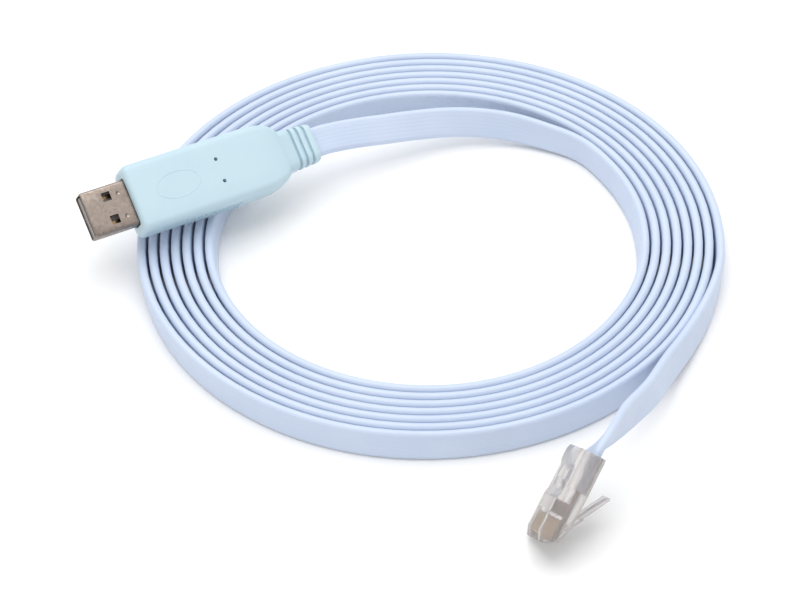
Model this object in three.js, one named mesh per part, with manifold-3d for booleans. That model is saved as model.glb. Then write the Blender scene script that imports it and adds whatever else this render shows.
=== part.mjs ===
// Console cable: a flat eight-core cord in a loose coil that stands on edge, with a
// moulded USB plug on its inner end and a clear modular plug on its outer end.
// Millimetres, +Z up. The coil and both leads are laid out around the coil's centre,
// and the whole is moved at the end so that the origin is under the middle of its box.
import * as THREE from 'three';
import { mergeVertices } from 'three/addons/utils/BufferGeometryUtils.js';
import Module from 'manifold-3d';

const wasm = await Module();
wasm.setup();

// Cord
const cordWidth = 8.0;
const cordThickness = 2.2;
const seatGap = 0.3;                  // between pieces that meet or sit in each other

// Coil: an oval spiral of the cord on edge, wound clockwise from the inside
const firstTurnHalfLength = 52.5;     // centre line of turn 0, along the oval
const firstTurnHalfWidth = 50.35;     // and across it
const lengthwiseGap = 0.8;            // between turns at the oval's left and right
const crosswiseGap = 0.15;            // between turns at its top and bottom
const coilYaw = 8.8;                  // degrees
const coilStart = 0.5;                // turns, counted from the left end of the oval
const coilEnd = 7.5;
const pointsPerTurn = 40;

// USB plug: local x runs from the mouth to the cord, y to the far side, z up
const shellWidth = 12.0;
const shellHeight = 4.5;
const shellWall = 0.3;
const shellCornerRadius = 0.7;
const shellExposed = 12.05;
const shellSeat = 4.0;                // length held inside the housing
const windowLength = 2.3;
const windowWidth = 2.3;
const windowFromMouth = 6.4;
const windowSpread = 6.2;             // centre to centre
const dimpleRadius = 0.65;
const dimpleDepth = 0.15;
const dimpleFromMouth = 9.6;
const tongueThickness = 1.9;
const tongueRecess = 0.4;             // of its front end behind the mouth
const usbContactCount = 4;
const usbContactPitch = 2.3;
const usbContactWidth = 1.0;
const usbContactThickness = 0.25;
const usbContactLength = 8.0;
const usbContactRecess = 1.0;         // behind the front end of the tongue
const trackDepth = 0.35;
const trackClearance = 0.1;

// USB housing and its strain relief, one moulding
const housingWidth = 18.0;
const housingHeight = 9.5;
const housingStraight = 33.5;         // from its front to where it starts to round off
const housingLength = 44.6;
const housingEdgeRadius = 1.8;
const shoulderReach = 2.1;            // of the shoulder's curve short of the end
const reliefLength = 10.4;
const reliefWidth = 11.4;
const reliefHeight = 6.4;
const reliefEndWidth = 10.2;
const reliefEdgeRadius = 1.6;
const grooveCount = 3;
const grooveWidth = 0.7;
const grooveDepth = 0.6;
const groovePitch = 2.4;
const firstGroove = 2.7;              // from the end of the rounded body
const lampHoleRadius = 0.55;
const lampHoleDepth = 0.8;
const lampHoleSpread = 6.0;
const lampHoleFromFront = 24.0;

const usbPosition = [-86.5, -7.0, 19.3];
const usbHeading = 31.3;              // degrees, of the direction from mouth to cord
const usbPitch = -5.0;
const usbRoll = 32.0;

// Modular plug: local x runs from the nose to the cord, y to its side, z to the latch
const bodyWidth = 11.7;
const bodyLength = 23.4;
const bodyHeight = 6.4;               // from the contact face to the latch side
const noseChamferLength = 2.2;
const noseChamferHeight = 0.9;
const noseSlopeFrom = 1.7;            // height where the nose starts to lean back
const noseReach = 1.6;                // how far it leans back, up to noseHeight
const noseHeight = 4.9;
const roofFrom = 6.0;                 // from here on the body has its full height
const waistFrom = 11.0;               // shallow recess across the contact face
const waistTo = 19.5;
const waistSlope = 1.0;
const waistDepth = 0.35;
const rearChamfer = 1.2;              // length of the chamfers at the cord's end
const rearDrop = 0.4;
const roofDrop = 0.05;
const coreHeight = 4.7;               // cord centre above the contact face
const wireHeight = 4.2;               // conductor centres above it
const contactCount = 8;
const contactPitch = 1.02;
const contactThickness = 0.32;
const contactLength = 4.9;
const contactHeight = 2.6;
const contactFromNose = 1.5;
const contactRecess = 0.9;
const contactClearance = 0.14;
const slotHeight = 1.9;               // of the contact slots where they open at the nose
const conductorRadius = 0.42;
const conductorFromNose = 2.4;
const boreClearance = 0.25;            // over the cord's flat inside the plug
const jacketStop = 14.2;              // where the jacket ends inside, from the nose
const clampFrom = 7.4;
const clampLength = 3.2;
const clampWidth = 8.6;
const clampDepth = 2.0;
const wedgeFrom = 15.4;
const wedgeLength = 3.0;
const wedgeWidth = 6.4;
const wedgeDepth = 1.2;
const latchWidth = 6.0;
const latchThickness = 1.1;
const latchTipWidth = 4.0;
const latchNarrowFrom = 9.0;
const latchRoot = [2.6, 5.0];         // along the plug, and above the contact face
const latchKnee = [7.0, 7.8];
const latchTip = [16.2, 12.8];

const modularPosition = [22.9, -93.4, 5.5];
const modularHeading = 57.8;
const modularPitch = 34.1;
const modularRoll = 122.0;

// Routes of the two leads, chosen by hand: x, y, z of the cord's middle and the angle in
// degrees of its flat to the horizontal
const usbRoute = [
  [-20.2, 32.6, 11.8, 35], [-12.6, 35.9, 10.2, 39], [-4.6, 39.3, 8.6, 44],
  [3.6, 42.0, 7.2, 49], [12.0, 43.3, 6.1, 56], [20.4, 43.0, 5.2, 64],
  [28.4, 40.9, 4.6, 74],
];
const modularRoute = [
  [74.2, -5.6, 4.15, 90], [72.45, -14.85, 4.2, 90], [69.35, -23.85, 4.4, 90],
  [64.8, -32.9, 5.1, 90], [59.2, -42.4, 6.6, 89], [53.8, -52.5, 9.4, 87],
  [47.5, -62.1, 13.0, 89], [44.8, -67.4, 15.2, 86], [42.0, -72.3, 16.7, 78],
];
const plugRunLength = 1.2;            // straight out of the clear plug before it bends
const reliefRunLength = 4.0;          // and out of the strain relief
const leadLift = 0.15;                // of the leads off the floor beside the coil
const leadSteps = 26;

const colours = {
  cord: 0xc3d0ea, housing: 0xbfe3e8, shell: 0x9b8f8a, tongue: 0xd8d4cc,
  gold: 0xc79a4a, clear: 0xcfd2d4, conductor: 0x8a6f55,
};

const root = new THREE.Group();

function paint(name, roughness, metalness) {
  return new THREE.MeshStandardMaterial({ color: colours[name], roughness, metalness });
}

function addMesh(group, name, geometry, material) {
  const mesh = new THREE.Mesh(geometry, material);
  mesh.name = name;
  group.add(mesh);
  return mesh;
}

// Joins and cuts
function toSolid(geometry) {
  const bare = geometry.clone();
  bare.deleteAttribute('normal');
  bare.deleteAttribute('uv');
  const merged = mergeVertices(bare, 1e-5);
  return new wasm.Manifold(new wasm.Mesh({
    numProp: 3,
    vertProperties: new Float32Array(merged.attributes.position.array),
    triVerts: new Uint32Array(merged.index.array),
  }));
}

function toGeometry(solid) {
  const mesh = solid.getMesh();
  const geometry = new THREE.BufferGeometry();
  geometry.setAttribute('position', new THREE.BufferAttribute(mesh.vertProperties, 3));
  geometry.setIndex(new THREE.BufferAttribute(mesh.triVerts, 1));
  geometry.computeVertexNormals();
  return geometry;
}

function box(from, to) {
  const low = new THREE.Vector3(...from);
  const size = new THREE.Vector3(...to).sub(low);
  const geometry = new THREE.BoxGeometry(size.x, size.y, size.z);
  return geometry.translate(low.x + size.x / 2, low.y + size.y / 2, low.z + size.z / 2);
}

function roundedRectangle(width, height, radius) {
  const x = width / 2;
  const y = height / 2;
  const shape = new THREE.Shape();
  shape.moveTo(-x + radius, -y);
  shape.lineTo(x - radius, -y);
  shape.absarc(x - radius, -y + radius, radius, -Math.PI / 2, 0);
  shape.lineTo(x, y - radius);
  shape.absarc(x - radius, y - radius, radius, 0, Math.PI / 2);
  shape.lineTo(-x + radius, y);
  shape.absarc(-x + radius, y - radius, radius, Math.PI / 2, Math.PI);
  shape.lineTo(-x, -y + radius);
  shape.absarc(-x + radius, -y + radius, radius, Math.PI, 1.5 * Math.PI);
  return shape;
}

// A section drawn in (y, z), pushed along x
function alongX(shape, from, to, curveSegments = 3) {
  const geometry = new THREE.ExtrudeGeometry(shape, {
    depth: to - from, bevelEnabled: false, curveSegments,
  });
  const toLocal = new THREE.Matrix4().makeBasis(
    new THREE.Vector3(0, 1, 0), new THREE.Vector3(0, 0, 1), new THREE.Vector3(1, 0, 0));
  return geometry.applyMatrix4(toLocal).translate(from, 0, 0);
}

// A side view drawn in (x, z), pushed along y
function alongY(shape, halfWidth, curveSegments = 4) {
  const geometry = new THREE.ExtrudeGeometry(shape, {
    depth: 2 * halfWidth, bevelEnabled: false, curveSegments,
  });
  return geometry.rotateX(Math.PI / 2).translate(0, halfWidth, 0);
}

function turned(group, position, heading, pitch, roll) {
  const radians = THREE.MathUtils.degToRad;
  group.position.set(...position);
  group.rotation.set(radians(roll), -radians(pitch), radians(heading), 'ZYX');
  root.add(group);
  group.updateMatrixWorld(true);
  return group;
}

// Coil
function coilPoint(turn, outward = 0) {
  const angle = 2 * Math.PI * turn;
  const stepLong = cordThickness + lengthwiseGap;
  const stepCross = cordThickness + crosswiseGap;
  const halfLength = firstTurnHalfLength + stepLong * turn;
  const halfWidth = firstTurnHalfWidth + stepCross * turn;
  const point = new THREE.Vector2(-halfLength * Math.cos(angle), halfWidth * Math.sin(angle));
  const travel = new THREE.Vector2(
    -stepLong * Math.cos(angle) + 2 * Math.PI * halfLength * Math.sin(angle),
    stepCross * Math.sin(angle) + 2 * Math.PI * halfWidth * Math.cos(angle)).normalize();
  point.x -= travel.y * outward;
  point.y += travel.x * outward;
  const yaw = THREE.MathUtils.degToRad(coilYaw);
  return {
    point: point.rotateAround(new THREE.Vector2(), yaw),
    travel: travel.rotateAround(new THREE.Vector2(), yaw),
  };
}

function makeCoil() {
  const steps = Math.round((coilEnd - coilStart) * pointsPerTurn);
  const outer = [];
  const inner = [];
  for (let i = 0; i <= steps; i += 1) {
    const turn = coilStart + (coilEnd - coilStart) * i / steps;
    outer.push(coilPoint(turn, cordThickness / 2).point);
    inner.unshift(coilPoint(turn, -cordThickness / 2).point);
  }
  const strip = new THREE.Shape([...outer, ...inner]);
  return new THREE.ExtrudeGeometry(strip, { depth: cordWidth, bevelEnabled: false });
}

// A path for a flat cord: each of its points also says how the flat leans
class FlatCordPath extends THREE.CatmullRomCurve3 {
  constructor(route) {
    super(route.map(([x, y, z]) => new THREE.Vector3(x, y, z)), false, 'centripetal');
    this.leans = route.map(([, , , lean]) => THREE.MathUtils.degToRad(lean));
  }

  leanAt(u) {
    const place = this.getUtoTmapping(u) * (this.leans.length - 1);
    const index = Math.min(Math.floor(place), this.leans.length - 2);
    return THREE.MathUtils.lerp(this.leans[index], this.leans[index + 1], place - index);
  }

  computeFrenetFrames(segments) {
    const frames = { tangents: [], normals: [], binormals: [] };
    const up = new THREE.Vector3(0, 0, 1);
    for (let i = 0; i <= segments; i += 1) {
      const tangent = this.getTangentAt(i / segments);
      const level = new THREE.Vector3().crossVectors(up, tangent).normalize();
      const rise = new THREE.Vector3().crossVectors(tangent, level);
      const lean = this.leanAt(i / segments);
      const across = level.multiplyScalar(Math.cos(lean)).addScaledVector(rise, Math.sin(lean));
      frames.tangents.push(tangent);
      frames.normals.push(across);
      frames.binormals.push(new THREE.Vector3().crossVectors(tangent, across));
    }
    return frames;
  }
}

function makeLead(route) {
  const section = roundedRectangle(cordWidth, cordThickness, cordThickness / 2 - 0.01);
  return new THREE.ExtrudeGeometry(section, {
    steps: leadSteps, curveSegments: 2, extrudePath: new FlatCordPath(route),
  });
}

// The lead's points where it runs on from the coil, with its end face seatGap away
function coilRunOn(turn, turns, direction) {
  const { point, travel } = coilPoint(turn);
  const end = point.clone().addScaledVector(travel, direction * seatGap);
  const more = turns.map((extra) => coilPoint(turn + direction * extra).point);
  return [end, ...more].map(({ x, y }) => [x, y, cordWidth / 2 + leadLift, 90]);
}

// Points straight out of a plug: given distances along its x from a local start
function plugRunOut(plug, start, distances, lean) {
  return distances.map((distance) => {
    const place = plug.localToWorld(new THREE.Vector3(start.x + distance, start.y, start.z));
    return [place.x, place.y, place.z, lean];
  });
}

// USB plug
function makeShell() {
  const rear = shellExposed + shellSeat;
  const outside = roundedRectangle(shellWidth, shellHeight, shellCornerRadius);
  const inside = roundedRectangle(shellWidth - 2 * shellWall, shellHeight - 2 * shellWall,
    shellCornerRadius - shellWall);
  let shell = toSolid(alongX(outside, 0, rear))
    .subtract(toSolid(alongX(inside, -1, rear + 1)));
  for (const side of [-1, 1]) {
    const y = side * windowSpread / 2;
    const windows = box(
      [windowFromMouth - windowLength / 2, y - windowWidth / 2, -shellHeight],
      [windowFromMouth + windowLength / 2, y + windowWidth / 2, shellHeight]);
    const dimple = new THREE.CylinderGeometry(dimpleRadius, dimpleRadius / 2, dimpleDepth * 2, 12)
      .rotateX(Math.PI / 2).translate(dimpleFromMouth, y, shellHeight / 2);
    shell = shell.subtract(toSolid(windows)).subtract(toSolid(dimple));
  }
  return toGeometry(shell);
}

const tongueFloor = -shellHeight / 2 + shellWall + seatGap / 2;
const tongueTop = tongueFloor + tongueThickness;

function usbContactPlace(index) {
  return (index - (usbContactCount - 1) / 2) * usbContactPitch;
}

function makeTongue() {
  const halfWidth = shellWidth / 2 - shellWall - seatGap;
  const start = tongueRecess;
  let tongue = toSolid(box([start, -halfWidth, tongueFloor],
    [shellExposed + shellSeat, halfWidth, tongueTop]));
  for (let i = 0; i < usbContactCount; i += 1) {
    const y = usbContactPlace(i);
    const half = usbContactWidth / 2 + trackClearance;
    const from = start + usbContactRecess - trackClearance;
    const to = start + usbContactRecess + usbContactLength + trackClearance;
    tongue = tongue.subtract(toSolid(
      box([from, y - half, tongueTop - trackDepth], [to, y + half, tongueTop + 1])));
  }
  return toGeometry(tongue);
}

function makeUsbContact(index) {
  const y = usbContactPlace(index);
  const from = tongueRecess + usbContactRecess;
  const low = tongueTop - trackDepth + trackClearance;
  return box([from, y - usbContactWidth / 2, low],
    [from + usbContactLength, y + usbContactWidth / 2, low + usbContactThickness]);
}

function makeHousing() {
  const front = shellExposed;
  const half = housingWidth / 2;
  const inset = housingEdgeRadius;
  const end = front + housingLength;
  const neck = reliefWidth / 2;
  const bend = end - shoulderReach;
  const plan = new THREE.Shape();
  plan.moveTo(front + inset, -half + inset);
  plan.lineTo(front + housingStraight, -half + inset);
  plan.quadraticCurveTo(bend, -half + inset, end - inset, -neck + inset);
  plan.lineTo(end - inset, neck - inset);
  plan.quadraticCurveTo(bend, half - inset, front + housingStraight, half - inset);
  plan.lineTo(front + inset, half - inset);
  const body = new THREE.ExtrudeGeometry(plan, {
    depth: housingHeight - 2 * inset, bevelThickness: inset, bevelSize: inset,
    bevelSegments: 3, curveSegments: 5,
  }).translate(0, 0, -housingHeight / 2 + inset);

  const side = new THREE.Shape();
  const roof = housingHeight / 2;
  const eave = reliefHeight / 2;
  side.moveTo(front - 1, -roof - 1);
  side.lineTo(front + housingStraight, -roof - 1);
  side.lineTo(front + housingStraight + 1, -roof);
  side.quadraticCurveTo(bend, -roof, end + 0.1, -eave);
  side.lineTo(end + 0.1, eave);
  side.quadraticCurveTo(bend, roof, front + housingStraight + 1, roof);
  side.lineTo(front + housingStraight, roof + 1);
  side.lineTo(front - 1, roof + 1);
  let housing = toSolid(body).intersect(toSolid(alongY(side, housingWidth, 5)));

  const reliefEnd = end + reliefLength;
  const round = reliefEdgeRadius;
  const relief = new THREE.Shape();
  relief.moveTo(end - 4, -neck + round);
  relief.lineTo(reliefEnd - round, -reliefEndWidth / 2 + round);
  relief.lineTo(reliefEnd - round, reliefEndWidth / 2 - round);
  relief.lineTo(end - 4, neck - round);
  const boot = new THREE.ExtrudeGeometry(relief, {
    depth: reliefHeight - 2 * round, bevelThickness: round, bevelSize: round,
    bevelSegments: 3,
  }).translate(0, 0, -reliefHeight / 2 + round);
  const flatEnd = box([reliefEnd - round / 2, -housingWidth, -housingHeight],
    [reliefEnd + 1, housingWidth, housingHeight]);
  housing = housing.add(toSolid(boot)).subtract(toSolid(flatEnd));

  for (let i = 0; i < grooveCount; i += 1) {
    const from = end + firstGroove + i * groovePitch;
    const share = (from - end) / reliefLength;
    const width = THREE.MathUtils.lerp(reliefWidth, reliefEndWidth, share);
    const core = roundedRectangle(width - 2 * grooveDepth, reliefHeight - 2 * grooveDepth,
      reliefEdgeRadius - grooveDepth / 2);
    const ring = toSolid(box([from, -housingWidth, -housingHeight],
      [from + grooveWidth, housingWidth, housingHeight]))
      .subtract(toSolid(alongX(core, from - 1, from + grooveWidth + 1, 3)));
    housing = housing.subtract(ring);
  }
  for (const side of [-1, 1]) {
    const hole = new THREE.CylinderGeometry(lampHoleRadius, lampHoleRadius, 2 * lampHoleDepth, 12)
      .rotateX(Math.PI / 2)
      .translate(front + lampHoleFromFront, side * lampHoleSpread / 2, roof);
    housing = housing.subtract(toSolid(hole));
  }
  const pocket = roundedRectangle(shellWidth + 2 * seatGap, shellHeight + 2 * seatGap,
    shellCornerRadius + seatGap);
  const socket = alongX(pocket, front - 1, front + shellSeat + seatGap);
  return toGeometry(housing.subtract(toSolid(socket)));
}

const reliefFace = shellExposed + housingLength + reliefLength - reliefEdgeRadius / 2;

function buildUsbPlug() {
  const plug = turned(new THREE.Group(), usbPosition, usbHeading, usbPitch, usbRoll);
  addMesh(plug, 'usb_shell', makeShell(), paint('shell', 0.32, 1.0));
  addMesh(plug, 'usb_tongue', makeTongue(), paint('tongue', 0.5, 0.0));
  for (let i = 0; i < usbContactCount; i += 1) {
    addMesh(plug, `usb_contact_${i + 1}`, makeUsbContact(i), paint('gold', 0.3, 1.0));
  }
  addMesh(plug, 'usb_housing', makeHousing(), paint('housing', 0.5, 0.0));
  return plug;
}

// Modular plug
function contactPlace(index) {
  return (index - (contactCount - 1) / 2) * contactPitch;
}

function makeModularBody() {
  const profile = new THREE.Shape();
  profile.moveTo(0, noseChamferHeight);
  profile.lineTo(noseChamferLength, 0);
  profile.lineTo(waistFrom, 0);
  profile.lineTo(waistFrom + waistSlope, waistDepth);
  profile.lineTo(waistTo - waistSlope, waistDepth);
  profile.lineTo(waistTo, 0);
  profile.lineTo(bodyLength - rearChamfer, 0);
  profile.lineTo(bodyLength, rearDrop);
  profile.lineTo(bodyLength, bodyHeight - roofDrop);
  profile.lineTo(bodyLength - rearChamfer, bodyHeight);
  profile.lineTo(roofFrom, bodyHeight);
  profile.lineTo(noseReach, noseHeight);
  profile.lineTo(0, noseSlopeFrom);
  let body = toSolid(alongY(profile, bodyWidth / 2));

  const [rootX, rootZ] = latchRoot;
  const [kneeX, kneeZ] = latchKnee;
  const [tipX, tipZ] = latchTip;
  const lever = new THREE.Shape();
  lever.moveTo(rootX, rootZ - latchThickness / 2);
  lever.lineTo(rootX, rootZ);
  lever.quadraticCurveTo((rootX + kneeX) / 2, (rootZ + kneeZ) / 2 - 0.2, kneeX, kneeZ);
  lever.lineTo(tipX - latchThickness / 2, tipZ);
  lever.lineTo(tipX, tipZ - latchThickness / 2);
  lever.lineTo(tipX - 0.1, tipZ - latchThickness);
  lever.lineTo(kneeX + 1, kneeZ + 0.4 - latchThickness);
  lever.quadraticCurveTo(kneeX, kneeZ - latchThickness, kneeX - 0.3, bodyHeight - 0.3);
  const latch = toSolid(alongY(lever, latchWidth / 2));
  body = body.add(latch);
  for (const side of [-1, 1]) {
    const edge = side * latchTipWidth / 2;
    const outside = side * (latchWidth / 2 + 1);
    const cut = box([latchNarrowFrom, Math.min(edge, outside), bodyHeight + seatGap],
      [bodyLength, Math.max(edge, outside), tipZ + 1]);
    body = body.subtract(toSolid(cut));
  }

  const clamp = box([clampFrom, -clampWidth / 2, -2],
    [clampFrom + clampLength, clampWidth / 2, clampDepth]);
  const wedge = box([wedgeFrom, -wedgeWidth / 2, -2],
    [wedgeFrom + wedgeLength, wedgeWidth / 2, wedgeDepth]);
  const halfBore = cordWidth / 2 + seatGap;
  const halfFlat = cordThickness / 2 + boreClearance;
  const bore = box([jacketStop - seatGap, -halfBore, coreHeight - halfFlat],
    [bodyLength + 1, halfBore, coreHeight + halfFlat]);
  const coreBand = (contactCount - 1) / 2 * contactPitch + conductorRadius + contactClearance;
  const coreHalf = conductorRadius + contactClearance;
  const cores = box([conductorFromNose - contactClearance, -coreBand, wireHeight - coreHalf],
    [jacketStop, coreBand, wireHeight + coreHalf]);
  for (const cut of [clamp, wedge, bore, cores]) {
    body = body.subtract(toSolid(cut));
  }
  for (let i = 0; i < contactCount; i += 1) {
    const y = contactPlace(i);
    const half = contactThickness / 2 + contactClearance;
    body = body.subtract(toSolid(box([-1, y - half, -2],
      [contactFromNose + contactLength + contactClearance, y + half, slotHeight])));
    body = body.subtract(toSolid(box([contactFromNose - contactClearance, y - half, -2],
      [contactFromNose + contactLength + contactClearance, y + half, wireHeight])));
  }
  return toGeometry(body);
}

function makeContact(index) {
  const y = contactPlace(index);
  return box([contactFromNose, y - contactThickness / 2, contactRecess],
    [contactFromNose + contactLength, y + contactThickness / 2, contactRecess + contactHeight]);
}

function makeConductor(index) {
  const length = jacketStop - seatGap - conductorFromNose;
  return new THREE.CylinderGeometry(conductorRadius, conductorRadius, length, 10)
    .rotateZ(Math.PI / 2)
    .translate(conductorFromNose + length / 2, contactPlace(index), wireHeight);
}

function buildModularPlug() {
  const plug = turned(new THREE.Group(), modularPosition, modularHeading, modularPitch,
    modularRoll);
  addMesh(plug, 'modular_body', makeModularBody(), paint('clear', 0.15, 0.0));
  for (let i = 0; i < contactCount; i += 1) {
    addMesh(plug, `modular_contact_${i + 1}`, makeContact(i), paint('gold', 0.3, 1.0));
    addMesh(plug, `conductor_${i + 1}`, makeConductor(i), paint('conductor', 0.6, 0.0));
  }
  return plug;
}

const usbPlug = buildUsbPlug();
const modularPlug = buildModularPlug();

const usbLead = [
  ...plugRunOut(usbPlug, new THREE.Vector3(reliefFace, 0, 0), [seatGap, reliefRunLength], usbRoll),
  ...usbRoute,
  ...coilRunOn(coilStart, [0.03, 0.06, 0.095], -1).reverse(),
];
const modularLead = [
  ...coilRunOn(coilEnd, [0.02], 1),
  ...modularRoute,
  ...plugRunOut(modularPlug, new THREE.Vector3(jacketStop, 0, coreHeight),
    [bodyLength - jacketStop + plugRunLength, bodyLength - jacketStop - plugRunLength, 0],
    180 - modularRoll),
];
addMesh(root, 'cable_coil', makeCoil(), paint('cord', 0.5, 0.0));
addMesh(root, 'cable_lead_usb', makeLead(usbLead), paint('cord', 0.5, 0.0));
addMesh(root, 'cable_lead_modular', makeLead(modularLead), paint('cord', 0.5, 0.0));

const bounds = new THREE.Box3().setFromObject(root, true);
const middle = bounds.getCenter(new THREE.Vector3());
root.position.set(-middle.x, -middle.y, -bounds.min.z);

export default root;
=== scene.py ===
import math

import bmesh
import bpy
from mathutils import Matrix, Vector


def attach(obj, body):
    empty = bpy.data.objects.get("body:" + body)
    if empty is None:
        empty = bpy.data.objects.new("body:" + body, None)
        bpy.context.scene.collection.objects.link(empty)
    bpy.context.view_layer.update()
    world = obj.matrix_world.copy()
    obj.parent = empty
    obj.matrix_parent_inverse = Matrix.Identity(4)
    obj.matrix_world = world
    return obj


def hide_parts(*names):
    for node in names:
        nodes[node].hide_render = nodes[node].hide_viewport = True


# Flat console cable: coil on edge, USB plug on its inner end, clear modular plug on its
# outer end. Plugs are made in their own millimetres and then laid where the frame has them.
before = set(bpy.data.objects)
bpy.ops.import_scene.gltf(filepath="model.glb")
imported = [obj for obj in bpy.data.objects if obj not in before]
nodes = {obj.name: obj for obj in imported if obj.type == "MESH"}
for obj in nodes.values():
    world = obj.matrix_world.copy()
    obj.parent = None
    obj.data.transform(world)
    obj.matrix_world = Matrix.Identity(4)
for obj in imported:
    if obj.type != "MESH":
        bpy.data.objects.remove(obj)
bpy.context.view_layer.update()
metres = 0.001
coilCentre = Vector((0.00676, 0.01452, 0.0))  # the coil's middle, from the part's origin


def partPoint(x, y, z):
    return Vector((x, y, z)) * metres + coilCentre


# Camera, in the coil's millimetres
cameraSettings = {
    "target": (-7.75, -15.6, 0.0),
    "distance": 620.0,
    "elevation": 47.8,
    "roll": 0.82,
    "lens": 110.25,
    "sensor": 36.0,
}


def placeCamera(settings):
    data = bpy.data.cameras.new("productCamera")
    data.sensor_fit = "HORIZONTAL"
    data.sensor_width = settings["sensor"]
    data.lens = settings["lens"]
    data.clip_start = 0.01
    camera = bpy.data.objects.new("productCamera", data)
    bpy.context.scene.collection.objects.link(camera)
    bpy.context.scene.camera = camera
    tilt, roll = math.radians(settings["elevation"]), math.radians(settings["roll"])
    back = Vector((0, -math.cos(tilt), math.sin(tilt)))
    right = Vector((1, 0, 0))
    up = back.cross(right)
    side = math.cos(roll) * right + math.sin(roll) * up
    top = math.cos(roll) * up - math.sin(roll) * right
    turn = Matrix((side, top, back)).transposed().to_4x4()
    place = partPoint(*settings["target"]) + back * settings["distance"] * metres
    camera.matrix_world = Matrix.Translation(place) @ turn


placeCamera(cameraSettings)
print("camera placed")


# Mesh helpers
def addPiece(name, mesh, slotName, *replaced):
    piece = bpy.data.objects.new(name, mesh)
    bpy.context.scene.collection.objects.link(piece)
    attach(piece, "root")
    if replaced:
        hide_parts(*replaced)
    return piece


def smoothMesh(mesh, angle=35):
    mesh.polygons.foreach_set("use_smooth", [True] * len(mesh.polygons))
    mesh.set_sharp_from_angle(angle=math.radians(angle))
    mesh.update()


def ringMesh(name, rings, joinEnds=False):
    # Quads between rings of equal length; joinEnds makes a loop of the rings
    mesh = bmesh.new()
    rows = [[mesh.verts.new(point) for point in ring] for ring in rings]
    pairs = list(zip(rows, rows[1:])) + ([(rows[-1], rows[0])] if joinEnds else [])
    for near, far in pairs:
        for i in range(len(near)):
            j = (i + 1) % len(near)
            mesh.faces.new((near[i], near[j], far[j], far[i]))
    if not joinEnds:
        mesh.faces.new(list(reversed(rows[0])))
        mesh.faces.new(rows[-1])
    bmesh.ops.recalc_face_normals(mesh, faces=mesh.faces)
    result = bpy.data.meshes.new(name)
    mesh.to_mesh(result)
    mesh.free()
    return result


def roundedRing(x, width, height, radius, corner=6, flat=4):
    # Rounded rectangle across a plug's x, as a ring of points
    radius = min(radius, width / 2 - 0.01, height / 2 - 0.01)
    centres = [(1, 1, 0), (-1, 1, 90), (-1, -1, 180), (1, -1, 270)]
    corners = []
    for sideY, sideZ, start in centres:
        middle = Vector((x, sideY * (width / 2 - radius), sideZ * (height / 2 - radius)))
        corners.append([
            middle + radius * Vector((0, math.cos(turn), math.sin(turn)))
            for turn in (math.radians(start + 90 * i / corner) for i in range(corner + 1))])
    ring = []
    for here, after in zip(corners, corners[1:] + corners[:1]):
        ring += here
        ring += [here[-1].lerp(after[0], i / flat) for i in range(1, flat)]
    return ring


def boxMesh(low, high, bevel=0.0, segments=2):
    mesh = bmesh.new()
    bmesh.ops.create_cube(mesh, size=1)
    low, high = Vector(low), Vector(high)
    for vertex in mesh.verts:
        vertex.co = Vector((
            low[k] + (vertex.co[k] + 0.5) * (high[k] - low[k]) for k in range(3)))
    if bevel:
        bmesh.ops.bevel(mesh, geom=mesh.edges[:], offset=bevel, segments=segments,
                        profile=0.5, affect="EDGES")
    result = bpy.data.meshes.new("box")
    mesh.to_mesh(result)
    mesh.free()
    return result


def profileMesh(outline, halfWidth):
    # Side view in (x, z), as thick as twice halfWidth along y
    mesh = bmesh.new()
    near = [mesh.verts.new((x, -halfWidth, z)) for x, z in outline]
    far = [mesh.verts.new((x, halfWidth, z)) for x, z in outline]
    mesh.faces.new(near)
    mesh.faces.new(list(reversed(far)))
    for i in range(len(outline)):
        j = (i + 1) % len(outline)
        mesh.faces.new((near[i], far[i], far[j], near[j]))
    bmesh.ops.recalc_face_normals(mesh, faces=mesh.faces)
    result = bpy.data.meshes.new("profile")
    mesh.to_mesh(result)
    mesh.free()
    return result


def evaluated(piece):
    # The mesh as its modifiers leave it; the working object goes
    graph = bpy.context.evaluated_depsgraph_get()
    mesh = bpy.data.meshes.new_from_object(piece.evaluated_get(graph))
    bpy.data.objects.remove(piece)
    return mesh


def workObject(mesh):
    piece = bpy.data.objects.new("working", mesh)
    bpy.context.scene.collection.objects.link(piece)
    return piece


def cutAndJoin(mesh, cutters=(), joined=(), bevel=0.0, segments=2, angle=30):
    piece = workObject(mesh)
    tools = []
    for kind, meshes in (("UNION", joined), ("DIFFERENCE", cutters)):
        for toolMesh in meshes:
            tool = workObject(toolMesh)
            tools.append(tool)
            change = piece.modifiers.new(kind.lower(), "BOOLEAN")
            change.operation = kind
            change.object = tool
            change.solver = "EXACT"
    if bevel:
        edge = piece.modifiers.new("edge", "BEVEL")
        edge.width = bevel
        edge.segments = segments
        edge.limit_method = "ANGLE"
        edge.angle_limit = math.radians(angle)
        edge.use_clamp_overlap = True
    result = evaluated(piece)
    for tool in tools:
        bpy.data.objects.remove(tool)
    return result


def joinMeshes(name, meshes):
    whole = bmesh.new()
    for mesh in meshes:
        whole.from_mesh(mesh)
    result = bpy.data.meshes.new(name)
    whole.to_mesh(result)
    whole.free()
    return result


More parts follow.
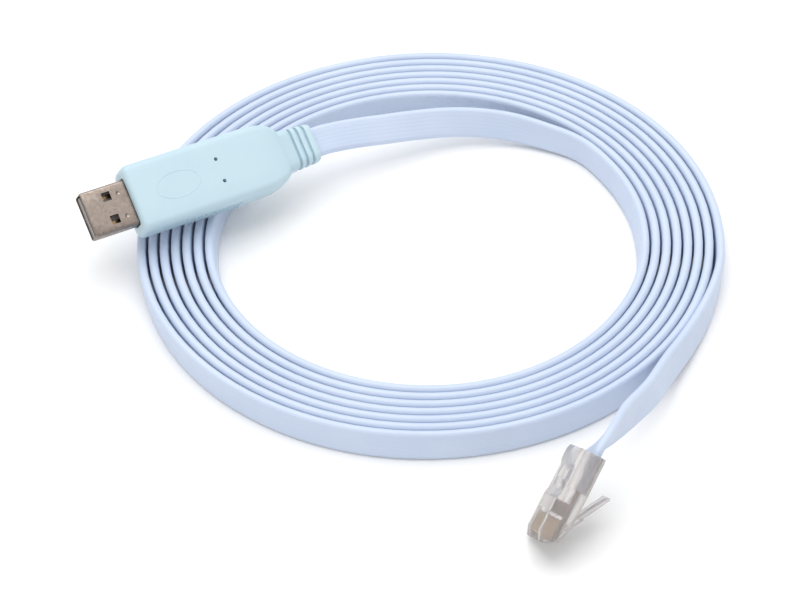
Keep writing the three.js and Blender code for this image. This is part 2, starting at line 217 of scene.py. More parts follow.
# Repeats of one shape in a straight row, made with Geometry Nodes
def rowTree():
    tree = bpy.data.node_groups.new("rowOfShapes", "GeometryNodeTree")
    face = tree.interface
    face.new_socket("Geometry", in_out="INPUT", socket_type="NodeSocketGeometry")
    face.new_socket("Shape", in_out="INPUT", socket_type="NodeSocketObject")
    face.new_socket("Count", in_out="INPUT", socket_type="NodeSocketInt")
    face.new_socket("Start", in_out="INPUT", socket_type="NodeSocketVector")
    face.new_socket("Step", in_out="INPUT", socket_type="NodeSocketVector")
    face.new_socket("Finish", in_out="INPUT", socket_type="NodeSocketMaterial")
    face.new_socket("Geometry", in_out="OUTPUT", socket_type="NodeSocketGeometry")
    make, link = tree.nodes.new, tree.links.new
    given, made = make("NodeGroupInput"), make("NodeGroupOutput")
    line = make("GeometryNodeMeshLine")
    line.mode = "OFFSET"
    shape = make("GeometryNodeObjectInfo")
    copies = make("GeometryNodeInstanceOnPoints")
    number = make("GeometryNodeInputIndex")
    mark = make("GeometryNodeStoreNamedAttribute")
    mark.domain = "INSTANCE"
    mark.data_type = "FLOAT"
    mark.inputs["Name"].default_value = "place"
    real = make("GeometryNodeRealizeInstances")
    paint = make("GeometryNodeSetMaterial")
    link(given.outputs["Count"], line.inputs["Count"])
    link(given.outputs["Start"], line.inputs["Start Location"])
    link(given.outputs["Step"], line.inputs["Offset"])
    link(given.outputs["Shape"], shape.inputs["Object"])
    link(line.outputs["Mesh"], copies.inputs["Points"])
    link(shape.outputs["Geometry"], copies.inputs["Instance"])
    link(copies.outputs["Instances"], mark.inputs["Geometry"])
    link(number.outputs["Index"], mark.inputs["Value"])
    link(mark.outputs["Geometry"], real.inputs["Geometry"])
    link(real.outputs["Geometry"], paint.inputs["Geometry"])
    link(given.outputs["Finish"], paint.inputs["Material"])
    link(paint.outputs["Geometry"], made.inputs["Geometry"])
    return tree


rowOfShapes = rowTree()


def rowMesh(shapeMesh, count, start, step, finish):
    shape = workObject(shapeMesh)
    holder = workObject(bpy.data.meshes.new("holder"))
    row = holder.modifiers.new("row", "NODES")
    row.node_group = rowOfShapes
    given = {"Shape": shape, "Count": count, "Start": start, "Step": step, "Finish": finish}
    for item in rowOfShapes.interface.items_tree:
        if item.in_out == "INPUT" and item.name in given:
            row[item.identifier] = given[item.name]
    result = evaluated(holder)
    bpy.data.objects.remove(shape)
    return result


# Materials
def startMaterial(name, sockets):
    material = bpy.data.materials.new(name)
    material.use_nodes = True
    shader = material.node_tree.nodes["Principled BSDF"]
    for socket, value in sockets.items():
        shader.inputs[socket].default_value = value
    return material, material.node_tree, shader


def grain(tree, scale, detail=3.0):
    # Noise on the piece's own coordinates
    place = tree.nodes.new("ShaderNodeTexCoord")
    noise = tree.nodes.new("ShaderNodeTexNoise")
    noise.inputs["Scale"].default_value = scale
    noise.inputs["Detail"].default_value = detail
    tree.links.new(place.outputs["Object"], noise.inputs["Vector"])
    return noise.outputs["Fac"]


def spread(tree, value, low, high):
    # Maps the middle of a noise, 0.3 to 0.7, to a range
    change = tree.nodes.new("ShaderNodeMapRange")
    change.inputs["From Min"].default_value = 0.3
    change.inputs["From Max"].default_value = 0.7
    change.inputs["To Min"].default_value = low
    change.inputs["To Max"].default_value = high
    tree.links.new(value, change.inputs["Value"])
    return change.outputs["Result"]


def blendColours(tree, value, first, second):
    mix = tree.nodes.new("ShaderNodeMix")
    mix.data_type = "RGBA"
    mix.inputs[6].default_value = (*first, 1)
    mix.inputs[7].default_value = (*second, 1)
    tree.links.new(value, mix.inputs[0])
    return mix.outputs[2]


def raiseSurface(tree, shader, height, strength, distance, under=None):
    bump = tree.nodes.new("ShaderNodeBump")
    bump.inputs["Strength"].default_value = strength
    bump.inputs["Distance"].default_value = distance
    tree.links.new(height, bump.inputs["Height"])
    if under is not None:
        tree.links.new(under, bump.inputs["Normal"])
    tree.links.new(bump.outputs["Normal"], shader.inputs["Normal"])
    return bump.outputs["Normal"]


jacketSettings = {
    "light": (0.560, 0.642, 0.790),
    "deep": (0.525, 0.608, 0.765),
    "roughness": (0.36, 0.48),
    "coreCount": 8,
    "coreBump": 0.00002,
    "grainBump": 0.00001,
}


def jacketMaterial(settings):
    material, tree, shader = startMaterial("cordJacket", {
        "IOR": 1.5, "Coat Weight": 0.06, "Coat Roughness": 0.35})
    cloud = spread(tree, grain(tree, 60, 2), 0, 1)
    tree.links.new(blendColours(tree, cloud, settings["light"], settings["deep"]),
                   shader.inputs["Base Color"])
    low, high = settings["roughness"]
    tree.links.new(spread(tree, grain(tree, 400, 2), low, high), shader.inputs["Roughness"])
    # The cores show as faint ridges along the flat
    place = tree.nodes.new("ShaderNodeTexCoord")
    parts = tree.nodes.new("ShaderNodeSeparateXYZ")
    wave = tree.nodes.new("ShaderNodeMath")
    wave.operation = "MULTIPLY"
    wave.inputs[1].default_value = 2 * math.pi * settings["coreCount"]
    swing = tree.nodes.new("ShaderNodeMath")
    swing.operation = "COSINE"
    tree.links.new(place.outputs["UV"], parts.inputs["Vector"])
    tree.links.new(parts.outputs["Y"], wave.inputs[0])
    tree.links.new(wave.outputs["Value"], swing.inputs[0])
    ridges = raiseSurface(tree, shader, swing.outputs["Value"], 0.5, settings["coreBump"])
    raiseSurface(tree, shader, grain(tree, 2200, 2), 0.4, settings["grainBump"], ridges)
    return material


cordJacket = jacketMaterial(jacketSettings)

# Cord: one flat cord from the strain relief through the coil into the clear plug.
# The route's points are x, y, z in the coil's millimetres and the lean of the flat in degrees.
cordSettings = {
    "width": 8.0,
    "thickness": 2.2,
    "edgeRadius": 1.0,
    # Two ovals lead the turns, one at the foot and one at the top: half length and half
    # width with their growth per turn, then the middle and its drift per turn
    "foot": {"half": (52.5, 50.35), "growth": (2.93, 2.36), "middle": (0, 0),
             "drift": (-0.02, 0), "yaw": 8.8},
    "top": {"half": (53.65, 49.28), "growth": (2.80, 2.436), "middle": (-0.13, 0.6),
            "drift": (-0.06, 0.1), "yaw": 9.55},
    "topRise": 7.0,                  # from the foot curve up to the top curve
    "steepest": 12.0,                # most that a turn leans, in degrees
    "turns": (0.5, 7.5),
    "knotsPerTurn": 24,
    "ringsPerKnot": 4,
    "startTurns": (-0.095, -0.06, -0.03),  # the lead joins the coil ahead of its first turn
    "lift": 0.15,                    # of those, off the table
    "reliefKnots": (-3, 0.3, 4),     # along the USB plug, from its strain relief's end
    "plugKnots": (24.6, 22.2, 14.2),  # along the clear plug, from its nose
    "plugHeight": 4.7,
    "chartPerMetre": 10,
}
usbRoute = [
    (-20.2, 32.6, 11.8, 35), (-12.6, 35.9, 10.2, 39), (-4.6, 39.3, 8.6, 44),
    (3.6, 42.0, 7.2, 49), (12.0, 43.3, 6.1, 56), (20.4, 43.0, 5.2, 64),
    (28.4, 40.9, 4.6, 74),
]
modularRoute = [
    (73.4, -5.1, 4.15, 88), (71.4, -14.4, 4.2, 94), (68.0, -23.5, 4.4, 101),
    (63.4, -32.8, 5.1, 107), (57.9, -42.6, 6.6, 111), (52.75, -53.05, 9.4, 109),
    (46.7, -62.8, 13.0, 104), (43.9, -67.9, 15.2, 93), (41.1, -72.7, 16.7, 78),
]
usbPlace = {"position": (-86.5, -7.0, 19.3), "heading": 31.3, "pitch": -5.0, "roll": 32.0,
            "reliefEnd": 65.0}
modularPlace = {"position": (22.9, -93.4, 5.5), "heading": 57.8, "pitch": 34.1, "roll": 122.0}


def plugMatrix(place):
    turn = (Matrix.Rotation(math.radians(place["heading"]), 4, "Z")
            @ Matrix.Rotation(math.radians(-place["pitch"]), 4, "Y")
            @ Matrix.Rotation(math.radians(place["roll"]), 4, "X"))
    return (Matrix.Translation(partPoint(*place["position"])) @ turn
            @ Matrix.Scale(metres, 4))


usbMatrix, modularMatrix = plugMatrix(usbPlace), plugMatrix(modularPlace)


def ovalPoint(turn, oval):
    angle, yaw = 2 * math.pi * turn, math.radians(oval["yaw"])
    long, cross = (oval["half"][k] + oval["growth"][k] * turn for k in (0, 1))
    x, y = (oval["middle"][k] + oval["drift"][k] * turn for k in (0, 1))
    x, y = x - long * math.cos(angle), y + cross * math.sin(angle)
    return Vector((x * math.cos(yaw) - y * math.sin(yaw),
                   x * math.sin(yaw) + y * math.cos(yaw)))


def coilKnot(turn, settings, lift=0.0):
    foot, top = ovalPoint(turn, settings["foot"]), ovalPoint(turn, settings["top"])
    travel = ovalPoint(turn + 0.01, settings["foot"]) - foot
    outward = Vector((-travel.y, travel.x)).normalized()
    tilt = math.degrees(math.atan2((foot - top).dot(outward), settings["topRise"]))
    tilt = max(-settings["steepest"], min(settings["steepest"], tilt))
    turned, radius = math.radians(tilt), settings["edgeRadius"]
    height = (settings["width"] / 2 - radius) * math.cos(turned) + math.hypot(
        radius * math.cos(turned), settings["thickness"] / 2 * math.sin(turned))
    return Vector((*((foot + top) / 2), height + lift, 90 + tilt))


def plugKnots(matrix, height, distances, lean):
    knots = []
    for distance in distances:
        point = (matrix @ Vector((distance, 0, height)) - coilCentre) / metres
        knots.append(Vector((*point, lean)))
    return knots


def cordKnots(settings):
    distances = [usbPlace["reliefEnd"] + step for step in settings["reliefKnots"]]
    knots = plugKnots(usbMatrix, 0, distances, usbPlace["roll"])
    knots += [Vector(point) for point in usbRoute]
    first, last = settings["turns"]
    for early in settings["startTurns"]:
        knots.append(coilKnot(first + early, settings, settings["lift"]))
    count = round((last - first) * settings["knotsPerTurn"])
    knots += [coilKnot(first + (last - first) * i / count, settings) for i in range(count + 1)]
    knots += [Vector(point) for point in modularRoute]
    lean = 180 - modularPlace["roll"]
    return knots + plugKnots(modularMatrix, settings["plugHeight"], settings["plugKnots"], lean)


def lineThrough(knots, perKnot):
    # Catmull-Rom line through the knots, spaced by the root of their distance
    ends = [knots[0] * 2 - knots[1]] + knots + [knots[-1] * 2 - knots[-2]]
    line = []
    for a, b, c, d in zip(ends, ends[1:], ends[2:], ends[3:]):
        t1 = (b - a).to_3d().length ** 0.5
        t2 = t1 + (c - b).to_3d().length ** 0.5
        t3 = t2 + (d - c).to_3d().length ** 0.5
        for i in range(perKnot):
            t = t1 + (t2 - t1) * i / perKnot
            ab, bc = a.lerp(b, t / t1), b.lerp(c, (t - t1) / (t2 - t1))
            cd = c.lerp(d, (t - t2) / (t3 - t2))
            early, late = ab.lerp(bc, t / t2), bc.lerp(cd, (t - t1) / (t3 - t1))
            line.append(early.lerp(late, (t - t1) / (t2 - t1)))
    return line + [knots[-1]]


def cordSection(settings):
    half, flat, radius = settings["width"] / 2, settings["thickness"] / 2, settings["edgeRadius"]
    section = []
    for side, start in ((1, -90), (-1, 90)):
        for i in range(9):
            turn = math.radians(start + 180 * i / 8)
            across = side * (half - radius) + radius * math.cos(turn)
            section.append((across, flat * math.sin(turn)))
        reach = half - radius
        section += [(side * reach * (1 - 2 * i / 8), side * flat) for i in range(1, 8)]
    return section


def makeCord(settings):
    line = lineThrough(cordKnots(settings), settings["ringsPerKnot"])
    section = cordSection(settings)
    centres = [partPoint(*point.to_3d()) for point in line]
    rings, lengths, length = [], [], 0.0
    for i, centre in enumerate(centres):
        before, after = centres[max(i - 1, 0)], centres[min(i + 1, len(centres) - 1)]
        travel = (after - before).normalized()
        level = Vector((0, 0, 1)).cross(travel).normalized()
        rise = travel.cross(level)
        lean = math.radians(line[i].w)
        across = level * math.cos(lean) + rise * math.sin(lean)
        through = travel.cross(across)
        rings.append([centre + (across * a + through * b) * metres for a, b in section])
        length += (centre - before).length
        lengths.append(length)
    mesh = ringMesh("flatCord", rings)
    chart = mesh.uv_layers.new(name="alongCord")
    size = len(section)
    for face in mesh.polygons:
        for corner in face.loop_indices:
            ring, place = divmod(mesh.loops[corner].vertex_index, size)
            share = section[place][0] / settings["width"] + 0.5
            chart.data[corner].uv = (lengths[ring] * settings["chartPerMetre"], share)
    smoothMesh(mesh, 60)
    mesh.materials.append(cordJacket)
    cord = addPiece("flatCord", mesh, "cord_jacket",
                    "cable_coil", "cable_lead_usb", "cable_lead_modular")
    return cord, centres, length


flatCord, cordCentres, cordLength = makeCord(cordSettings)
print("cord laid, metres:", round(cordLength, 3))

# USB plug
housingSettings = {
    "front": 12.05,
    "width": 18.0,
    "height": 9.5,
    "straight": 33.5,
    "length": 43.6,
    "rearBend": 1.7,                 # from the rear end to the curve's control point
    "edgeRadius": 2.0,
    "frontRadius": 1.5,
    "pocket": (12.5, 5.0, 0.9),      # width, height and corner radius, round the shell
    "pocketDepth": 3.9,
    "pocketEdge": (0.2, 0.3),        # depth and growth of its bevelled rim
    "reliefLength": 9.35,
    "reliefStart": (11.4, 6.4),
    "reliefEnd": (10.2, 6.0),
    "reliefRadius": 2.0,
    "grooveCount": 3,
    "firstGroove": 2.9,
    "groovePitch": 1.95,
    "grooveWidth": 0.7,
    "grooveDepth": 0.95,
    "grooveSlope": 0.15,
    "grooveLip": (0.05, 0.1),        # length and depth of the rounded edge
    "grooveSpace": 0.25,
    "reliefRim": ((-0.5, 0.0), (-0.12, 0.15), (0.0, 0.5)),  # from its end, and the inset
    "cordMouth": (8.6, 2.8, 1.3),
    "cordSeat": (8.3, 2.5, 1.2),
    "cordSeatDepth": 1.5,
    "lampPlace": 24.4,
    "lampSpread": 6.0,
    "lampRadius": 0.5,
    "lampDepth": 1.5,
    "ovalPlace": 12.5,
    "ovalSize": (12.0, 6.8),
    "ovalRim": (0.22, 0.12),         # half width and half height
    "ovalSink": 0.03,
    "ribCount": 16,
    "ribFrom": 13.0,
    "ribPitch": 1.0,
    "ribReach": (0.3, 0.5),          # into and out of the side
    "ribHeights": (-3.4, 1.2),
    "ribHalfWidth": 0.24,
    "ribEdge": 0.2,
    "light": (0.505, 0.655, 0.725),
    "deep": (0.480, 0.632, 0.708),
    "roughness": (0.42, 0.55),
    "grainBump": 0.00002,
}


def housingMaterial(settings):
    material, tree, shader = startMaterial("housingPlastic", {"IOR": 1.49})
    cloud = spread(tree, grain(tree, 90, 3), 0, 1)
    tree.links.new(blendColours(tree, cloud, settings["light"], settings["deep"]),
                   shader.inputs["Base Color"])
    tree.links.new(spread(tree, grain(tree, 700, 2), *settings["roughness"]),
                   shader.inputs["Roughness"])
    raiseSurface(tree, shader, grain(tree, 3200, 2), 0.35, settings["grainBump"])
    return material


housingPlastic = housingMaterial(housingSettings)


def curveWeights(t):
    return (1 - t) ** 2, 2 * t * (1 - t), t ** 2


def housingRings(settings):
    front, width, height = settings["front"], settings["width"], settings["height"]
    edge, lip = settings["edgeRadius"], settings["frontRadius"]
    pocketWidth, pocketHeight, pocketRadius = settings["pocket"]
    rimDepth, rimGrowth = settings["pocketEdge"]
    rings = [roundedRing(front + settings["pocketDepth"], pocketWidth, pocketHeight, pocketRadius),
             roundedRing(front + rimDepth, pocketWidth, pocketHeight, pocketRadius),
             roundedRing(front, pocketWidth + rimGrowth, pocketHeight + rimGrowth, pocketRadius)]
    for i in range(7):
        turn = math.radians(15 * i)
        inset = lip * (1 - math.sin(turn))
        rings.append(roundedRing(front + lip * (1 - math.cos(turn)),
                                 width - 2 * inset, height - 2 * inset, edge))
    for share in (0.25, 0.5, 0.75, 1):
        rings.append(roundedRing(front + settings["straight"] * share, width, height, edge))
    neckWidth, neckHeight = settings["reliefStart"]
    straight, length = settings["straight"], settings["length"]
    bend = length - settings["rearBend"]
    for i in range(1, 13):
        early, middle, late = curveWeights(i / 12)
        rings.append(roundedRing(
            front + early * straight + middle * bend + late * length,
            (early + middle) * width + late * neckWidth,
            (early + middle) * height + late * neckHeight, edge))
    return rings + reliefRings(settings, front + length)


def reliefRings(settings, start):
    neckWidth, neckHeight = settings["reliefStart"]
    endWidth, endHeight = settings["reliefEnd"]
    relief = settings["reliefLength"]

    def ringAt(x, sink=0.0):
        share = x / relief
        wide = neckWidth + (endWidth - neckWidth) * share
        tall = neckHeight + (endHeight - neckHeight) * share
        return roundedRing(start + x, wide - 2 * sink, tall - 2 * sink,
                           settings["reliefRadius"] - sink * 0.5)

    wide, deep = settings["grooveWidth"], settings["grooveDepth"]
    slope, space = settings["grooveSlope"], settings["grooveSpace"]
    lip, lipDepth = settings["grooveLip"]
    rings = []
    for i in range(settings["grooveCount"]):
        x = settings["firstGroove"] + i * settings["groovePitch"]
        rings += [ringAt(x - space), ringAt(x - lip, lipDepth), ringAt(x, deep * 0.75),
                  ringAt(x + slope, deep), ringAt(x + wide - slope, deep),
                  ringAt(x + wide, deep * 0.75), ringAt(x + wide + lip, lipDepth),
                  ringAt(x + wide + space)]
    rings += [ringAt(relief + back, inset) for back, inset in settings["reliefRim"]]
    return rings + [roundedRing(start + relief, *settings["cordMouth"]),
                    roundedRing(start + relief - settings["cordSeatDepth"],
                                *settings["cordSeat"])]


def ovalRim(settings):
    # Plain moulded oval on the top face
    halfLong, halfWide = settings["ovalSize"][0] / 2, settings["ovalSize"][1] / 2
    rimWidth, rimHeight = settings["ovalRim"]
    middle = settings["front"] + settings["ovalPlace"]
    rings = []
    for i in range(72):
        turn = 2 * math.pi * i / 72
        out = Vector((halfWide * math.cos(turn), halfLong * math.sin(turn), 0)).normalized()
        centre = Vector((middle + halfLong * math.cos(turn), halfWide * math.sin(turn),
                         settings["height"] / 2 - settings["ovalSink"]))
        rings.append([
            centre + out * rimWidth * math.cos(a) + Vector((0, 0, rimHeight * math.sin(a)))
            for a in (math.radians(45 * k) for k in range(8))])
    return ringMesh("ovalRim", rings, joinEnds=True)


def rodMesh(name, radius, depth, segments, place):
    mesh = bmesh.new()
    bmesh.ops.create_cone(mesh, cap_ends=True, segments=segments, radius1=radius,
                          radius2=radius, depth=depth, matrix=place)
    result = bpy.data.meshes.new(name)
    mesh.to_mesh(result)
    mesh.free()
    return result


def paintWhole(mesh, finish):
    mesh.materials.clear()
    mesh.materials.append(finish)
    for face in mesh.polygons:
        face.material_index = 0


def makeHousing(settings):
    holes = []
    for side in (-1, 1):
        place = (settings["front"] + settings["lampPlace"], side * settings["lampSpread"] / 2,
                 settings["height"] / 2)
        holes.append(rodMesh("lampHole", settings["lampRadius"], 2 * settings["lampDepth"], 24,
                             Matrix.Translation(place)))
    body = cutAndJoin(ringMesh("housing", housingRings(settings)), cutters=holes)
    parts = [body, ovalRim(settings)]
    half, reach = settings["width"] / 2, settings["ribHalfWidth"]
    inward, outward = settings["ribReach"]
    low, high = settings["ribHeights"]
    for side in (-1, 1):
        rib = boxMesh((-reach, side * half - inward, low), (reach, side * half + outward, high),
                      settings["ribEdge"])
        start = (settings["front"] + settings["ribFrom"], 0, 0)
        parts.append(rowMesh(rib, settings["ribCount"], start, (settings["ribPitch"], 0, 0),
                             housingPlastic))
    mesh = joinMeshes("usbHousing", parts)
    mesh.transform(usbMatrix)
    smoothMesh(mesh, 40)
    paintWhole(mesh, housingPlastic)
    return addPiece("usbHousing", mesh, "housing", "usb_housing")


usbHousing = makeHousing(housingSettings)
print("housing made")

shellSettings = {
    "width": 12.0,
    "height": 4.5,
    "wall": 0.3,
    "radius": 0.7,
    "leastRadius": 0.2,
    "length": 15.7,
    # Rolled lip outside and inside: distance from the mouth, and inset
    "outerLip": [(0.06, 0.42), (0.0, 0.32), (0.05, 0.2), (0.18, 0.09), (0.4, 0.02), (0.7, 0.0)],
    "innerLip": [(0.75, 0.3), (0.35, 0.38)],
    "window": 2.3,
    "windowPlace": 6.4,
    "windowSpread": 6.2,
    "dimplePlace": 9.6,
    "dimpleBall": 1.0,
    "dimpleLift": 0.82,              # of the ball's middle over the face
    "seam": 0.12,
    "seamDepth": 0.1,                # past the wall
    "light": (0.34, 0.285, 0.25),
    "deep": (0.26, 0.215, 0.188),
    "roughness": (0.24, 0.42),
    "grainBump": 0.00002,
}


def shellMaterial(settings):
    material, tree, shader = startMaterial("platedShell", {"Metallic": 1.0})
    cloud = spread(tree, grain(tree, 900, 4), 0, 1)
    tree.links.new(blendColours(tree, cloud, settings["light"], settings["deep"]),
                   shader.inputs["Base Color"])
    tree.links.new(spread(tree, grain(tree, 1500, 3), *settings["roughness"]),
                   shader.inputs["Roughness"])
    raiseSurface(tree, shader, grain(tree, 1400, 3), 0.25, settings["grainBump"])
    return material


platedShell = shellMaterial(shellSettings)


def makeShell(settings):
    wide, tall, wall, length = (settings[k] for k in ("width", "height", "wall", "length"))
    sleeve = settings["outerLip"] + [(length, 0.0), (length, wall)] + settings["innerLip"]
    rings = [roundedRing(x, wide - 2 * cut, tall - 2 * cut,
                         max(settings["radius"] - cut, settings["leastRadius"]))
             for x, cut in sleeve]
    tube = ringMesh("shell", rings, joinEnds=True)
    cutters = []
    for side in (-1, 1):
        x, y = settings["windowPlace"], side * settings["windowSpread"] / 2
        reach = settings["window"] / 2
        cutters.append(boxMesh((x - reach, y - reach, -tall), (x + reach, y + reach, tall)))
        place = (settings["dimplePlace"], y, tall / 2 + settings["dimpleLift"])
        mesh = bmesh.new()
        bmesh.ops.create_uvsphere(mesh, u_segments=20, v_segments=12,
                                  radius=settings["dimpleBall"],
                                  matrix=Matrix.Translation(place))
        ball = bpy.data.meshes.new("dimple")
        mesh.to_mesh(ball)
        mesh.free()
        cutters.append(ball)
    seam = settings["seam"] / 2
    cutters.append(boxMesh((-1, -seam, -tall),
                           (length + 1, seam, -tall / 2 + wall + settings["seamDepth"])))
    mesh = cutAndJoin(tube, cutters=cutters)
    mesh.transform(usbMatrix)
    smoothMesh(mesh, 30)
    paintWhole(mesh, platedShell)
    return addPiece("usbShell", mesh, "shell_metal", "usb_shell")


usbShell = makeShell(shellSettings)


def plainMaterial(name, settings, scale=500, **sockets):
    material, tree, shader = startMaterial(name, sockets)
    cloud = spread(tree, grain(tree, scale, 3), 0, 1)
    tree.links.new(blendColours(tree, cloud, settings["light"], settings["deep"]),
                   shader.inputs["Base Color"])
    tree.links.new(spread(tree, grain(tree, scale * 3, 2), *settings["roughness"]),
                   shader.inputs["Roughness"])
    raiseSurface(tree, shader, grain(tree, scale * 5, 2), 0.3, 0.00002)
    return material


# Tongue and contacts: their own plastic and gold colours are painted darker here, as painted shade
# for the shade inside the shell that shows through its windows
insideColoursWithPaintedShade = {
    "tongue": {"light": (0.30, 0.29, 0.275), "deep": (0.25, 0.24, 0.23),
               "roughness": (0.4, 0.55)},
    "contacts": {"light": (0.34, 0.23, 0.13), "deep": (0.25, 0.17, 0.10),
                 "roughness": (0.22, 0.38)},
}
tonguePaintedShade = plainMaterial("tonguePaintedShade", insideColoursWithPaintedShade["tongue"])
contactGoldPaintedShade = plainMaterial("contactGoldPaintedShade", insideColoursWithPaintedShade["contacts"], Metallic=1.0)
for name in ["usb_tongue"] + [f"usb_contact_{i}" for i in range(1, 5)]:
    finish = tonguePaintedShade if name == "usb_tongue" else contactGoldPaintedShade
    nodes[name].data.materials.clear()
    nodes[name].data.materials.append(finish)
print("usb plug made")

# Clear modular plug: boxes are low and high corners, in the plug's millimetres
modularSettings = {
    "width": 11.7,
    "outline": [
        (0, 0.9), (2.2, 0), (11.0, 0), (12.0, 0.35), (18.5, 0.35), (19.5, 0), (22.2, 0),
        (23.4, 0.4), (23.4, 6.35), (22.2, 6.4), (6.0, 6.4), (1.6, 4.9), (0, 1.7)],
    "hollows": [
        ((7.4, -4.3, -2), (10.6, 4.3, 3.8)),         # pocket over the cores
        ((15.4, -3.2, -2), (18.4, 3.2, 1.2)),        # pocket over the cord
        ((13.9, -4.3, 3.35), (25, 4.3, 6.05)),       # bore for the cord
        ((2.26, -4.13, 3.64), (14.2, 4.13, 4.76)),   # bore for the cores
    ],
    "contactCount": 8,
    "contactPitch": 1.02,
    "slotWidth": 0.6,
    "slotParts": [((-1, -2), (6.54, 1.9)), ((1.36, -2), (6.54, 4.2))],  # in x and z
    "edge": 0.14,
    "latchWidth": 5.9,
    "latchTipWidth": 4.0,
    "latchTipBox": ((9.0, 6.7), (20, 14)),           # in x and z, where the latch is narrower
    "latchFoot": [(2.6, 4.45), (2.6, 5.0)],
    "latchOuter": [(2.6, 5.0), (4.8, 6.2), (7.0, 7.8)],
    "latchTip": [(15.5, 12.6), (15.9, 12.65), (16.15, 12.4), (16.1, 11.9), (8.0, 7.1)],
    "latchInner": [(8.0, 7.1), (7.0, 6.7), (6.7, 6.1)],
    "light": (0.86, 0.825, 0.81),
    "deep": (0.79, 0.755, 0.74),
    "roughness": (0.10, 0.20),
}


def clearMaterial(settings):
    material, tree, shader = startMaterial("clearPlastic", {
        "IOR": 1.42, "Transmission Weight": 0.80})
    cloud = spread(tree, grain(tree, 260, 3), 0, 1)
    tree.links.new(blendColours(tree, cloud, settings["light"], settings["deep"]),
                   shader.inputs["Base Color"])
    tree.links.new(spread(tree, grain(tree, 300, 2), *settings["roughness"]),
                   shader.inputs["Roughness"])
    return material


clearPlastic = clearMaterial(modularSettings)


def curvePoints(controls, count):
    # Points after the first, on the curve that three control points give
    (x0, z0), (x1, z1), (x2, z2) = controls
    points = []
    for i in range(1, count + 1):
        early, middle, late = curveWeights(i / count)
        points.append((x0 * early + x1 * middle + x2 * late, z0 * early + z1 * middle + z2 * late))
    return points


def makeModularPlug(settings):
    body = profileMesh(settings["outline"], settings["width"] / 2)
    cutters = [boxMesh(low, high) for low, high in settings["hollows"]]
    reach = settings["slotWidth"] / 2
    for i in range(settings["contactCount"]):
        y = (i - (settings["contactCount"] - 1) / 2) * settings["contactPitch"]
        for (x1, z1), (x2, z2) in settings["slotParts"]:
            cutters.append(boxMesh((x1, y - reach, z1), (x2, y + reach, z2)))
    outline = (settings["latchFoot"] + curvePoints(settings["latchOuter"], 6)
               + settings["latchTip"] + curvePoints(settings["latchInner"], 4))
    latch = profileMesh(outline, settings["latchWidth"] / 2)
    edge = settings["latchTipWidth"] / 2
    (x1, z1), (x2, z2) = settings["latchTipBox"]
    for side in (-1, 1):
        low, high = sorted((side * edge, side * 6))
        cutters.append(boxMesh((x1, low, z1), (x2, high, z2)))
    mesh = cutAndJoin(body, cutters=cutters, joined=[latch], bevel=settings["edge"])
    mesh.transform(modularMatrix)
    smoothMesh(mesh, 40)
    paintWhole(mesh, clearPlastic)
    return addPiece("modularBody", mesh, "clear_plastic", "modular_body")


modularBody = makeModularPlug(modularSettings)


def plugRow(shape, finish):
    # One shape for each contact, across the clear plug
    count, pitch = modularSettings["contactCount"], modularSettings["contactPitch"]
    row = rowMesh(shape, count, (0, -(count - 1) / 2 * pitch, 0), (0, pitch, 0), finish)
    row.transform(modularMatrix)
    smoothMesh(row)
    return row


bladeSettings = {
    "low": (1.5, -0.24, 0.3),
    "high": (6.4, 0.24, 3.5),
    "edge": 0.1,
    "light": (0.86, 0.64, 0.38),
    "deep": (0.62, 0.43, 0.25),
    "roughness": (0.3, 0.45),
}
bladeGold = plainMaterial("bladeGold", bladeSettings, Metallic=1.0)
blade = boxMesh(bladeSettings["low"], bladeSettings["high"], bladeSettings["edge"])
contactBlades = addPiece("contactBlades", plugRow(blade, bladeGold), "contact_metal",
                         *[f"modular_contact_{i}" for i in range(1, 9)])

coreSettings = {
    "radius": 0.42,
    "length": 11.5,
    "middle": (8.15, 0, 4.2),
    "roughness": 0.45,
    "tones": [(0.16, 0.09, 0.06), (0.34, 0.23, 0.17), (0.10, 0.07, 0.06), (0.26, 0.13, 0.09),
              (0.19, 0.14, 0.09), (0.24, 0.13, 0.08), (0.13, 0.10, 0.09), (0.28, 0.19, 0.14)],
}


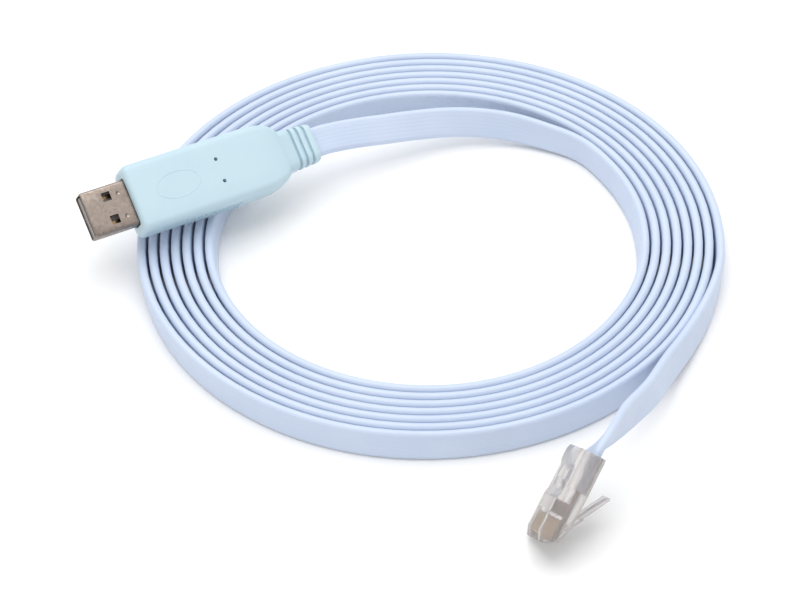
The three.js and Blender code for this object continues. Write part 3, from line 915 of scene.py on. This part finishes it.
def coreMaterial(settings):
    # One tone for each core, by its place in the row
    material, tree, shader = startMaterial("coreInsulation", {"Roughness": settings["roughness"]})
    tones = settings["tones"]
    number = tree.nodes.new("ShaderNodeAttribute")
    number.attribute_name = "place"
    share = tree.nodes.new("ShaderNodeMath")
    share.operation = "MULTIPLY"
    share.inputs[1].default_value = 1 / len(tones)
    ramp = tree.nodes.new("ShaderNodeValToRGB")
    ramp.color_ramp.interpolation = "CONSTANT"
    while len(ramp.color_ramp.elements) < len(tones):
        ramp.color_ramp.elements.new(0.5)
    for i, tone in enumerate(tones):
        ramp.color_ramp.elements[i].position = i / len(tones)
        ramp.color_ramp.elements[i].color = (*tone, 1)
    tree.links.new(number.outputs["Fac"], share.inputs[0])
    tree.links.new(share.outputs["Value"], ramp.inputs["Fac"])
    tree.links.new(ramp.outputs["Color"], shader.inputs["Base Color"])
    raiseSurface(tree, shader, grain(tree, 2000, 2), 0.3, 0.00002)
    return material


coreInsulation = coreMaterial(coreSettings)
coreTurn = Matrix.Translation(coreSettings["middle"]) @ Matrix.Rotation(math.pi / 2, 4, "Y")
core = rodMesh("core", coreSettings["radius"], coreSettings["length"], 20, coreTurn)
cores = addPiece("cores", plugRow(core, coreInsulation), "conductor",
                 *[f"conductor_{i}" for i in range(1, 9)])
print("modular plug made")

# Floor and light, in metres
floorSettings = {"reach": 3, "depth": 0.02, "albedo": 0.92}
reach, albedo = floorSettings["reach"], floorSettings["albedo"]
floorMesh = boxMesh((-reach, -reach, -floorSettings["depth"]), (reach, reach, 0))
floor = bpy.data.objects.new("paleFloor", floorMesh)
bpy.context.scene.collection.objects.link(floor)
floorPaint = startMaterial("floorPaint", {
    "Base Color": (albedo, albedo, albedo, 1), "Roughness": 0.9, "Specular IOR Level": 0.1})
floor.data.materials.append(floorPaint[0])

lightSettings = {
    "sky": 0.72,
    "lamps": [
        {"name": "overheadSoftbox", "place": (-0.1, 0.3, 1.1), "size": 1.3, "power": 10.9},
        {"name": "frontFill", "place": (-0.2, -1.1, 0.7), "size": 0.9, "power": 1.4},
    ],
}
world = bpy.data.worlds.new("studio")
bpy.context.scene.world = world
world.use_nodes = True
world.node_tree.nodes["Background"].inputs["Color"].default_value = (1, 1, 1, 1)
world.node_tree.nodes["Background"].inputs["Strength"].default_value = lightSettings["sky"]
for lamp in lightSettings["lamps"]:
    data = bpy.data.lights.new(lamp["name"], "AREA")
    data.shape = "SQUARE"
    data.size = lamp["size"]
    data.energy = lamp["power"]
    light = bpy.data.objects.new(lamp["name"], data)
    bpy.context.scene.collection.objects.link(light)
    light.location = lamp["place"]
    light.rotation_euler = Vector(lamp["place"]).to_track_quat("Z", "Y").to_euler()
bpy.context.scene.view_settings.view_transform = "Standard"
print("stage set")
